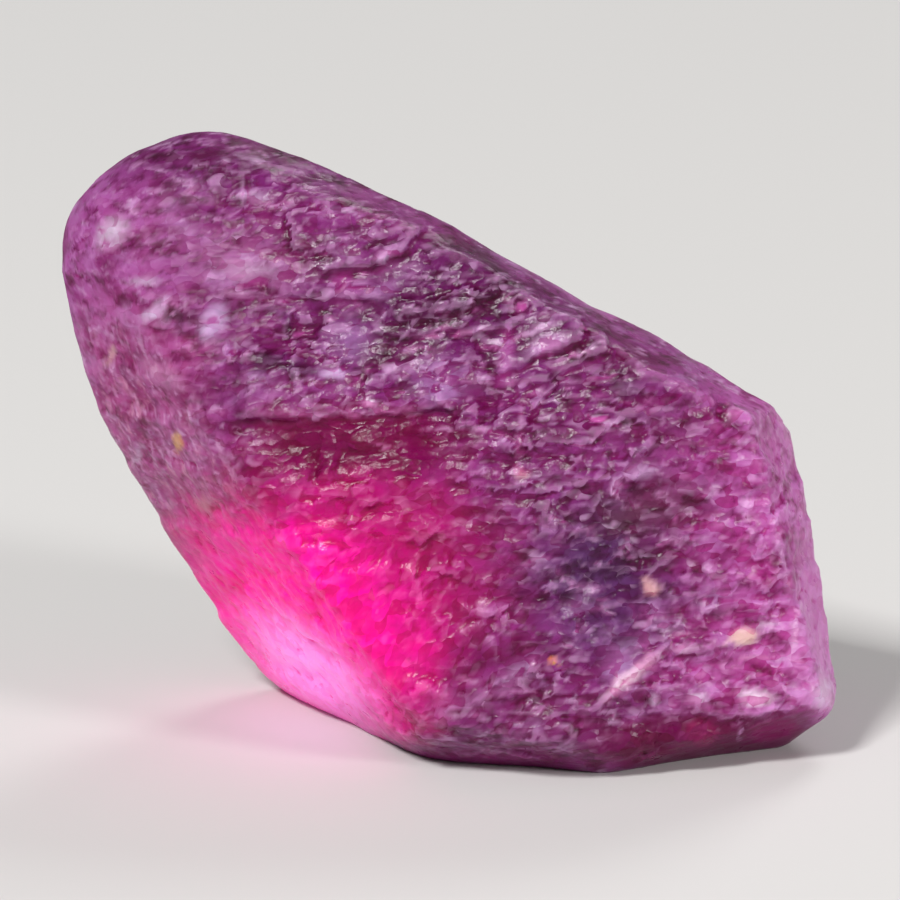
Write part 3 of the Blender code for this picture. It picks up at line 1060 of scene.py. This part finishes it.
# Cloudiness all over the stone, from broad to fine.
MOTTLES = (
    Mottle("#c45ca8", (1.5, 0.8), 0.46, 0.60, 0.85, 2.3, True),
    Mottle("#b04492", (0.60, 0.26), 0.50, 0.62, 0.90, 11.9, True),
    Mottle("#b880b8", (1.7, 0.9), 0.52, 0.70, 0.45, 31.1),
    Mottle("#d2a4d0", (0.75, 0.28), 0.55, 0.69, 0.60, 43.7),
)

# Upright streaks down the left flank.
FLANK_MOTTLES = (
    Mottle("#964a84", (0.45, 1.3), 0.46, 0.60, 0.45, 7.7),
    Mottle("#d09cc8", (0.22, 1.1), 0.52, 0.66, 0.80, 19.3),
    Mottle("#dc9cbc", (0.60, 0.55), 0.54, 0.68, 0.60, 27.9),
)

# Redder and lighter patches in the hot core, varying its painted glow.
GLOW_MOTTLES = (
    Mottle("#d80062", (1.1, 0.6), 0.48, 0.62, 0.60, 51.3),
    Mottle("#ff48b4", (0.42, 0.26), 0.50, 0.66, 0.55, 63.1),
)


@dataclass(frozen=True)
class Fade:
    """A share that begins at one value of a number, and has its most at another."""

    begin: float
    full: float
    most: float


@dataclass(frozen=True)
class SapphireBody:
    """Raw corundum: chromium-pink and iron-blue zones, milky with fine silk, its faces etched.

    The silk inside scatters light, so the body is soft; its hot-pink core glows by emission,
    painted light standing in for light shone up through the stone from below. The etched skin
    glints. A pale colour, partly silk and partly painted highlight, lies on the rims and some
    chips, except where the stone is clear or glows; hollows and broad basins are darkened as
    painted shade; and a thin glassy coat lies over the broad faces. Lengths are in millimetres,
    and hollows and edges are measured by how far the skin lies under or over the mean of its
    surroundings.
    """

    body: str = "#812c72"
    # The silk and veil colours lighten rims and some chips: partly silk, partly painted highlight.
    silk: str = "#d4a6d2"
    veil: str = "#b8bcb8"
    # This colour darkens hollows as painted shade, and some chips in tone.
    shade_and_dark_chip_tint: str = "#dd55b4"
    drift_scale: float = 0.9
    zone_drift: float = 1.8
    mark_drift: float = 0.72
    # Painted shade: how deep a hollow or broad basin lies before it is darkened.
    hollows: Fade = Fade(0.002, 0.022, 0.9)
    basins: Fade = Fade(0.0, 0.09, 0.9)
    # Edges and pale chips get painted highlights, partly silk; dark chips are darker in tone.
    edges: Fade = Fade(-0.005, -0.028, 0.25)
    dark_chips: Fade = Fade(0.35, 0.95, 0.85)
    silk_and_glint_chips: Fade = Fade(0.35, 0.85, 0.40)
    flecks: Fade = Fade(0.54, 0.68, 1.0)
    chips: Facets = Facets((0.40, 0.25), 8.0, 1.2, 0.5, 5.7)
    chip_height: float = 0.090
    steep_turn: float = 50.0
    grain_scale: float = 14.0
    grain_height: float = 0.006
    least_bump: float = 0.20
    satin_scale: float = 2.5
    satin: Fade = Fade(0.3, 0.7, 0.42)
    least_satin: float = 0.25
    worn_dulling: float = 0.22
    ior: float = 1.77
    shine: float = 0.05
    glassy: float = 0.035
    veil_in_glow: float = 0.08
    glass_roughness: float = 0.33
    glow: float = 0.36
    clear: float = 0.10
    milky: float = 0.30
    scatter: Triple = (1.0, 0.35, 0.75)
    scatter_depth: float = 0.6

    def paint(
        self, tree: bpy.types.NodeTree, start: bpy.types.Node, place: bpy.types.Node
    ) -> bpy.types.Node:
        """Lay the colour zones, marks and mottling on the mesh's points.

        Args:
            tree: the modifier's tree.
            start: the node that gives the mesh.
            place: the node that gives the place on the stone, in millimetres.

        Returns:
            The node that gives the painted mesh.
        """
        flank, worn, glass = (
            add_node(
                tree, "GeometryNodeInputNamedAttribute", {"data_type": "FLOAT"}, {"Name": layer.value}
            )
            for layer in (Layer.FLANK, Layer.WORN, Layer.GLASS)
        )
        wander = add_node(
            tree,
            "ShaderNodeTexNoise",
            {},
            {"Vector": place, "Scale": self.drift_scale, "Detail": 6.0, "Roughness": 0.72},
        )
        centred = add_node(
            tree,
            "ShaderNodeVectorMath",
            {"operation": "SUBTRACT"},
            {0: wander.outputs["Color"], 1: NOISE_MIDDLE},
        )
        ragged, slight = (
            add_node(
                tree,
                "ShaderNodeVectorMath",
                {"operation": "MULTIPLY_ADD"},
                {0: centred, 1: (amount,) * 3, 2: place},
            )
            for amount in (self.zone_drift, self.mark_drift)
        )
        colour: object = linear(self.body)
        for zone in BODY_ZONES:
            colour = zone.lay(tree, ragged, colour)
        for mottle in MOTTLES:
            colour = mottle.lay(tree, place, colour)
        for mottle in FLANK_MOTTLES:
            colour = mottle.lay(tree, place, colour, flank)
        for zone in GLOW_ZONES:
            colour = zone.lay(tree, ragged, colour)
        glow = HOT_CORE.share(tree, ragged)
        for mottle in GLOW_MOTTLES:
            colour = mottle.lay(tree, place, colour, glow)
        for mark in MARKS:
            colour = mark.lay(tree, slight, colour)
        patches = add_node(
            tree, "ShaderNodeTexNoise", {}, {"Vector": place, "Scale": self.satin_scale, "Detail": 4.0}
        )
        satin = add_node(
            tree,
            "ShaderNodeMapRange",
            {},
            {
                "Value": patches.outputs[0],
                "From Min": self.satin.begin,
                "From Max": self.satin.full,
                "To Min": self.least_satin,
                "To Max": self.satin.most,
            },
        )
        duller = add_node(
            tree, "ShaderNodeMath", {"operation": "MULTIPLY_ADD"}, {0: worn, 1: self.worn_dulling, 2: satin}
        )
        # How much of the pale colour, partly silk and partly painted highlight, shows; thin in the glow and
        # in clear zones.
        veil: object = add_node(
            tree, "ShaderNodeMapRange", {}, {"Value": glow, "To Min": 1.0, "To Max": self.veil_in_glow}
        )
        for clear in CLEAR_ZONES:
            thinner = add_node(
                tree, "ShaderNodeMath", {"operation": "SUBTRACT"}, {0: 1.0, 1: clear.share(tree, ragged)}
            )
            veil = add_node(tree, "ShaderNodeMath", {"operation": "MULTIPLY"}, {0: veil, 1: thinner})
        sheen = add_node(tree, "ShaderNodeMath", {"operation": "MULTIPLY"}, {0: glass, 1: self.glassy})
        glassy = add_node(tree, "ShaderNodeMath", {"operation": "MULTIPLY"}, {0: sheen, 1: veil})
        mesh = start
        for layer, kind, value in (
            (Layer.TINT, "FLOAT_COLOR", colour),
            (Layer.SATIN, "FLOAT", duller),
            (Layer.GLOW, "FLOAT", glow),
            (Layer.GLASS, "FLOAT", glassy),
            (Layer.VEIL, "FLOAT", veil),
        ):
            mesh = add_node(
                tree,
                "GeometryNodeStoreNamedAttribute",
                {"data_type": kind, "domain": "POINT"},
                {"Geometry": mesh, "Name": layer.value, "Value": value},
            )
        return mesh

    def make(self) -> bpy.types.Material:
        """Make the material.

        Returns:
            The finished material, which reads the crystal's own layers and Object coordinates.
        """
        # Etched corundum: a satin skin that glints chip by chip, over a milky body that is only a
        # little see-through and glows soft pink from inside; that glow is painted light, emission
        # standing in for light shone up through the stone from below.
        material = bpy.data.materials.new("raw corundum, etched crystal faces, silky pink body")
        material.use_nodes = True
        tree = material.node_tree
        tree.nodes.clear()
        coordinates = add_node(tree, "ShaderNodeTexCoord")
        place = stone_place(tree, coordinates.outputs["Object"])
        numbers = {
            layer: add_node(tree, "ShaderNodeAttribute", {"attribute_name": layer.value}).outputs["Fac"]
            for layer in (
                Layer.ETCH,
                Layer.STEEP,
                Layer.HOLLOW,
                Layer.BASIN,
                Layer.SATIN,
                Layer.GLOW,
                Layer.GLASS,
                Layer.VEIL,
            )
        }
        tint = add_node(tree, "ShaderNodeAttribute", {"attribute_name": Layer.TINT.value})
        is_steep = add_node(
            tree, "ShaderNodeMath", {"operation": "GREATER_THAN"}, {0: numbers[Layer.STEEP], 1: 0.5}
        )
        angle = add_node(
            tree,
            "ShaderNodeMath",
            {"operation": "MULTIPLY"},
            {0: is_steep, 1: math.radians(self.steep_turn)},
        )
        grained = add_node(
            tree, "ShaderNodeVectorRotate", {"rotation_type": "Y_AXIS"}, {"Vector": place, "Angle": angle}
        )
        rise, cells, wave = self.chips.grow(tree, grained)
        colour = self._weathered(tree, tint.outputs["Color"], numbers, cells, wave)
        # Painted light: the hot core gives off its own tint as emission, a glow standing in for light shone
        # up through the stone from below.
        glowing = add_node(
            tree,
            "ShaderNodeVectorMath",
            {"operation": "SCALE"},
            {0: colour, "Scale": numbers[Layer.GLOW]},
        )
        bumped = self._bump(tree, place, rise, numbers)
        shader = add_node(
            tree,
            "ShaderNodeBsdfPrincipled",
            {"subsurface_method": "RANDOM_WALK"},
            {
                "Base Color": colour,
                "Roughness": numbers[Layer.SATIN],
                "Normal": bumped,
                "IOR": self.ior,
                "Specular IOR Level": self.shine,
                "Coat Weight": numbers[Layer.GLASS],
                "Coat Roughness": self.glass_roughness,
                "Coat IOR": self.ior,
                "Coat Normal": bumped,
                "Emission Color": glowing,
                "Emission Strength": self.glow,
                "Transmission Weight": self.clear,
                "Subsurface Weight": self.milky,
                "Subsurface Radius": self.scatter,
                "Subsurface Scale": self.scatter_depth * MM,
            },
        )
        add_node(tree, "ShaderNodeOutputMaterial", {}, {"Surface": shader})
        return material

    def _weathered(
        self,
        tree: bpy.types.NodeTree,
        colour: object,
        numbers: Mapping[Layer, object],
        cells: bpy.types.Node,
        wave: bpy.types.Node,
    ) -> bpy.types.Node:
        """Darken the colour as painted shade in hollows and as darker tone in some chips, and lighten it on
        edges and other chips with painted highlights, partly pale silk.

        Args:
            tree: the material's tree.
            colour: the painted colour.
            numbers: the mesh's own numbers.
            cells: the fine chips' cell pattern.
            wave: the noise that bends their rims.

        Returns:
            The finished base colour.
        """
        chance = add_node(tree, "ShaderNodeSeparateColor", {}, {"Color": cells.outputs["Color"]})
        hollow_shade, basin_shade, edge_highlight, dark_chip, silk_and_glint_chip, fleck = (
            add_node(
                tree,
                "ShaderNodeMapRange",
                {},
                {"Value": value, "From Min": fade.begin, "From Max": fade.full, "To Max": fade.most},
            )
            for value, fade in (
                (numbers[Layer.HOLLOW], self.hollows),
                (numbers[Layer.BASIN], self.basins),
                (numbers[Layer.HOLLOW], self.edges),
                (chance.outputs[0], self.dark_chips),
                (chance.outputs[1], self.silk_and_glint_chips),
                (wave.outputs[0], self.flecks),
            )
        )
        silk_and_glint_mark = add_node(
            tree, "ShaderNodeMath", {"operation": "MULTIPLY"}, {0: silk_and_glint_chip, 1: fleck}
        )
        dark_etched, etched_silk_and_glint = (
            add_node(tree, "ShaderNodeMath", {"operation": "MULTIPLY"}, {0: mark, 1: numbers[Layer.ETCH]})
            for mark in (dark_chip, silk_and_glint_mark)
        )
        # Painted shade in hollows and broad basins, joined with chips that are darker in tone.
        deep = add_node(tree, "ShaderNodeMath", {"operation": "MAXIMUM"}, {0: hollow_shade, 1: basin_shade})
        dark = add_node(tree, "ShaderNodeMath", {"operation": "MAXIMUM"}, {0: deep, 1: dark_etched})
        # Painted highlights on edges and on chips, partly pale silk.
        pale = add_node(tree, "ShaderNodeMath", {"operation": "MAXIMUM"}, {0: edge_highlight, 1: etched_silk_and_glint})
        shaded_and_dark_chipped = add_node(
            tree,
            "ShaderNodeMix",
            {"data_type": "RGBA", "blend_type": "MULTIPLY"},
            {"Factor": dark, "A": colour, "B": linear(self.shade_and_dark_chip_tint)},
        )
        lighter = add_node(
            tree,
            "ShaderNodeMix",
            {"data_type": "RGBA", "blend_type": "DODGE"},
            {"Factor": pale, "A": shaded_and_dark_chipped, "B": linear(self.veil)},
        )
        silk_and_highlight = add_node(
            tree, "ShaderNodeMath", {"operation": "MULTIPLY"}, {0: pale, 1: numbers[Layer.VEIL]}
        )
        return add_node(
            tree,
            "ShaderNodeMix",
            {"data_type": "RGBA"},
            {"Factor": silk_and_highlight, "A": lighter, "B": linear(self.silk)},
        )

    def _bump(
        self, tree: bpy.types.NodeTree, place: object, rise: object, numbers: Mapping[Layer, object]
    ) -> bpy.types.Node:
        """Add the facets and grain that are finer than the mesh.

        Args:
            tree: the material's tree.
            place: the place on the stone, in millimetres.
            rise: the fine facets' height, in cells.
            numbers: the mesh's own numbers.

        Returns:
            The bumped normal.
        """
        grain = add_node(
            tree, "ShaderNodeTexNoise", {}, {"Vector": place, "Scale": self.grain_scale, "Detail": 0.0}
        )
        height = add_node(
            tree, "ShaderNodeMath", {"operation": "MULTIPLY"}, {0: rise, 1: self.chip_height}
        )
        rough = add_node(
            tree,
            "ShaderNodeMath",
            {"operation": "MULTIPLY_ADD"},
            {0: grain.outputs[0], 1: self.grain_height, 2: height},
        )
        share = add_node(
            tree,
            "ShaderNodeMath",
            {"operation": "MULTIPLY_ADD"},
            {0: numbers[Layer.ETCH], 1: 1 - self.least_bump, 2: self.least_bump},
        )
        etched = add_node(tree, "ShaderNodeMath", {"operation": "MULTIPLY"}, {0: rough, 1: share})
        return add_node(tree, "ShaderNodeBump", {}, {"Height": etched, "Strength": 1.0, "Distance": MM})


@dataclass(frozen=True)
class Softbox:
    """A square light that faces the stone; place and side in metres, power in watts."""

    name: str
    place: Triple
    side: float
    power: float


@dataclass
class Studio:
    """A pale floor, soft lights and the camera; lengths in metres."""

    softboxes: tuple[Softbox, ...] = (
        Softbox("key softbox", (-0.20, -0.30, 0.38), 0.09, 2.5),
        Softbox("fill softbox", (0.34, -0.26, 0.16), 0.09, 1.1),
        Softbox("back softbox", (0.12, 0.32, 0.34), 0.16, 0.6),
    )
    floor_colour: str = "#d2d0ce"
    floor_roughness: float = 0.8
    floor_size: float = 3.0
    world_colour: str = "#ffffff"
    world_strength: float = 0.18
    distance: float = 0.300
    elevation: float = math.radians(16.0)
    view_width: float = 0.02148
    target: Triple = (0.036 * MM, 0.0, 6.75 * MM)

    def build(self) -> None:
        """Make the floor, the lights and the camera."""
        self._floor()
        self._world()
        for softbox in self.softboxes:
            self._hang(softbox)
        self._camera()

    def _floor(self) -> None:
        """Lay the floor under the stone."""
        bpy.ops.object.select_all(action="DESELECT")
        bpy.ops.mesh.primitive_plane_add(size=self.floor_size, location=(0, 0, 0))
        floor = bpy.context.object
        floor.name = "studio_floor"
        # Painted board: matt and even, so the stone's shadow and pink glow lie on it softly.
        material = bpy.data.materials.new("matt painted studio board")
        material.use_nodes = True
        tree = material.node_tree
        tree.nodes.clear()
        shader = add_node(
            tree,
            "ShaderNodeBsdfPrincipled",
            {},
            {"Base Color": linear(self.floor_colour), "Roughness": self.floor_roughness},
        )
        add_node(tree, "ShaderNodeOutputMaterial", {}, {"Surface": shader})
        floor.data.materials.append(material)

    def _world(self) -> None:
        """Light the room evenly."""
        world = bpy.data.worlds.new("studio room")
        world.use_nodes = True
        tree = world.node_tree
        tree.nodes.clear()
        glow = add_node(
            tree,
            "ShaderNodeBackground",
            {},
            {"Color": linear(self.world_colour), "Strength": self.world_strength},
        )
        add_node(tree, "ShaderNodeOutputWorld", {}, {"Surface": glow})
        bpy.context.scene.world = world

    def _hang(self, softbox: Softbox) -> None:
        """Hang a softbox so that it faces the stone.

        Args:
            softbox: the light to hang.
        """
        light = bpy.data.lights.new(softbox.name, "AREA")
        light.shape = "SQUARE"
        light.size = softbox.side
        light.energy = softbox.power
        lamp = bpy.data.objects.new(softbox.name, light)
        lamp.location = softbox.place
        aim = Vector(self.target) - Vector(softbox.place)
        lamp.rotation_euler = aim.to_track_quat("-Z", "Y").to_euler()
        bpy.context.scene.collection.objects.link(lamp)

    def _camera(self) -> None:
        """Set the camera at the photograph's angle."""
        lens = bpy.data.cameras.new("camera")
        lens.sensor_width = 36.0
        lens.lens = lens.sensor_width * self.distance / self.view_width
        lens.clip_start = 0.01
        lens.clip_end = 10.0
        camera = bpy.data.objects.new("camera", lens)
        back = Vector((0.0, -math.cos(self.elevation), math.sin(self.elevation)))
        camera.location = Vector(self.target) + self.distance * back
        camera.rotation_euler = (math.pi / 2 - self.elevation, 0.0, 0.0)
        bpy.context.scene.collection.objects.link(camera)
        bpy.context.scene.camera = camera


def report(piece: bpy.types.Object) -> None:
    """Log a piece's name, triangles and size."""
    triangles = sum(len(p.vertices) - 2 for p in piece.data.polygons)
    size = tuple(round(length / MM, 2) for length in piece.dimensions)
    LOG.info("%s: %d triangles, %s mm", piece.name, triangles, size)


def main() -> None:
    """Build the crystal and its studio."""
    logging.basicConfig(level=logging.INFO, format="%(message)s")
    crystal = EtchedCrystal().build()
    body = SapphireBody()
    apply_nodes(crystal, "colour zones", body.paint)
    crystal.data.materials.append(body.make())
    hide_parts(NODE_NAME)
    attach(crystal, "root")
    report(crystal)
    Studio().build()
    bpy.context.scene.view_settings.view_transform = "Standard"


if __name__ == "__main__":
    main()
